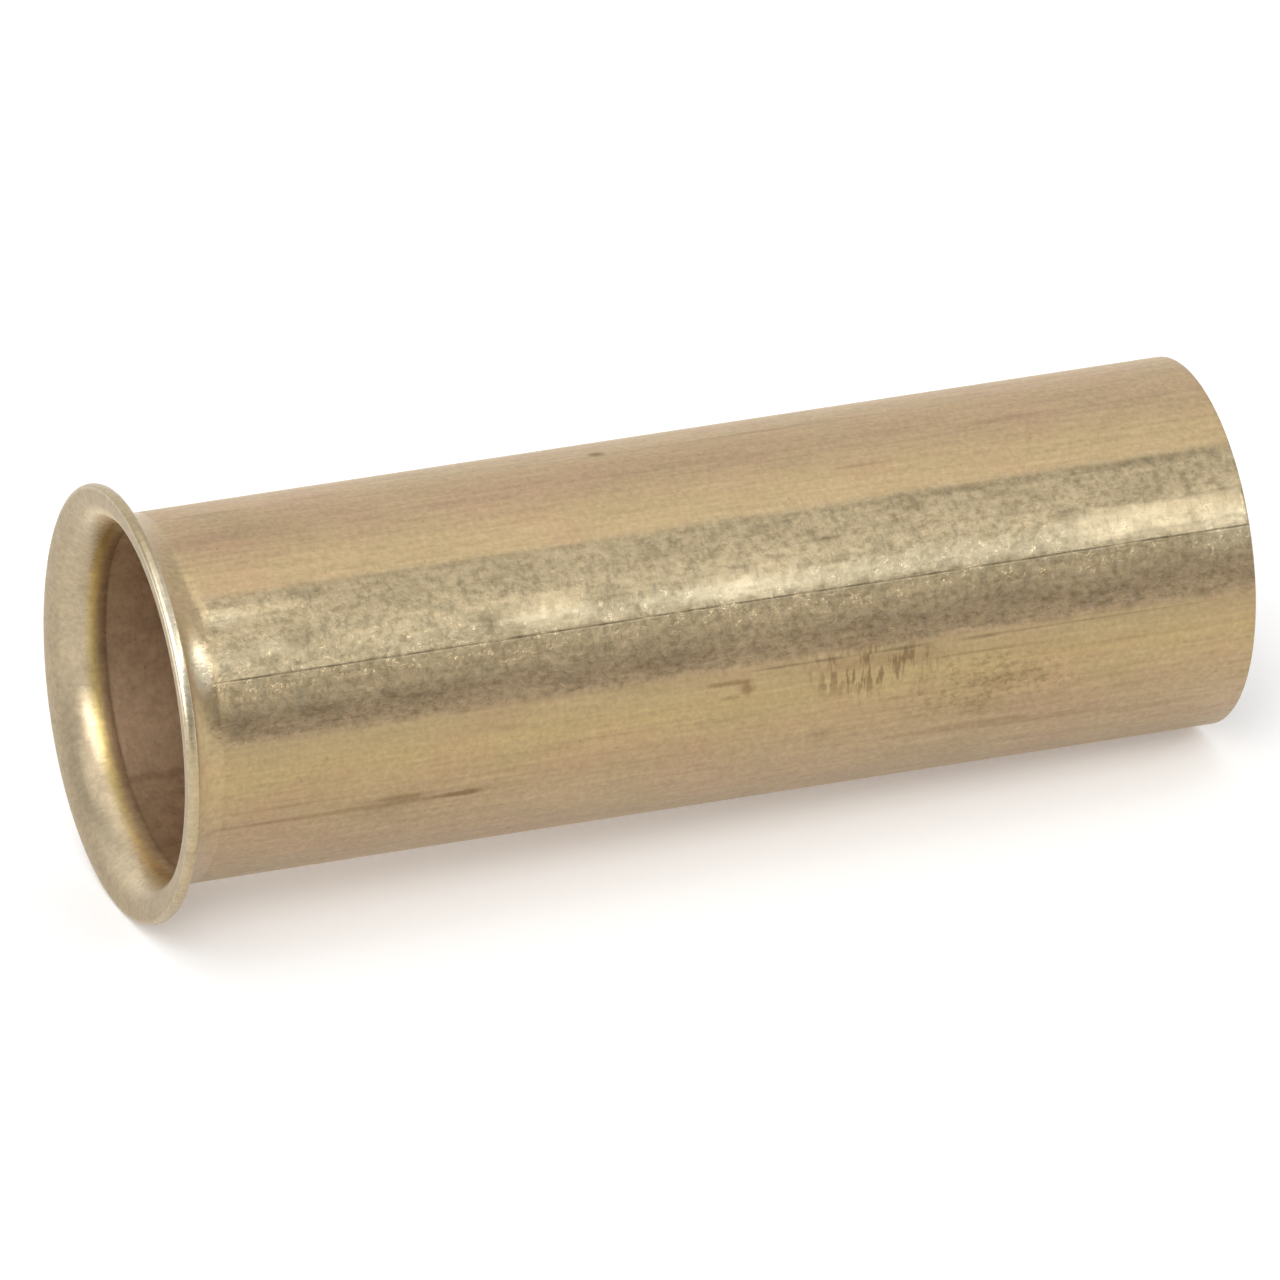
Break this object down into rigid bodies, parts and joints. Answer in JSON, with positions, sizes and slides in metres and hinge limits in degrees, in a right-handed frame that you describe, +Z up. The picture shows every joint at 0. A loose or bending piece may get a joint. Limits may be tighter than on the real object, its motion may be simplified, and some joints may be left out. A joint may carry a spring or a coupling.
{
  "type": "guitar slide",
  "caption": "Thin-walled brass tube with one flared, rounded mouth and one plain cut end, worn on a finger or slid along as a smooth metal barrel.",
  "frame": {"origin": "on the tube's axis, halfway between the face of the flared mouth and the cut end", "axes": "+X along the axis, from the flared mouth to the cut end; +Z up with the tube lying down; the seam faces -Y and up"},
  "size_m": [0.0776, 0.0302, 0.0302],
  "materials": {
    "brass": "satin, bare, lightly tarnished, darker and mottled along the brazed seam"
  },
  "bodies": {
    "root": {"slide_tube": "brass"}
  },
  "joints": []
}
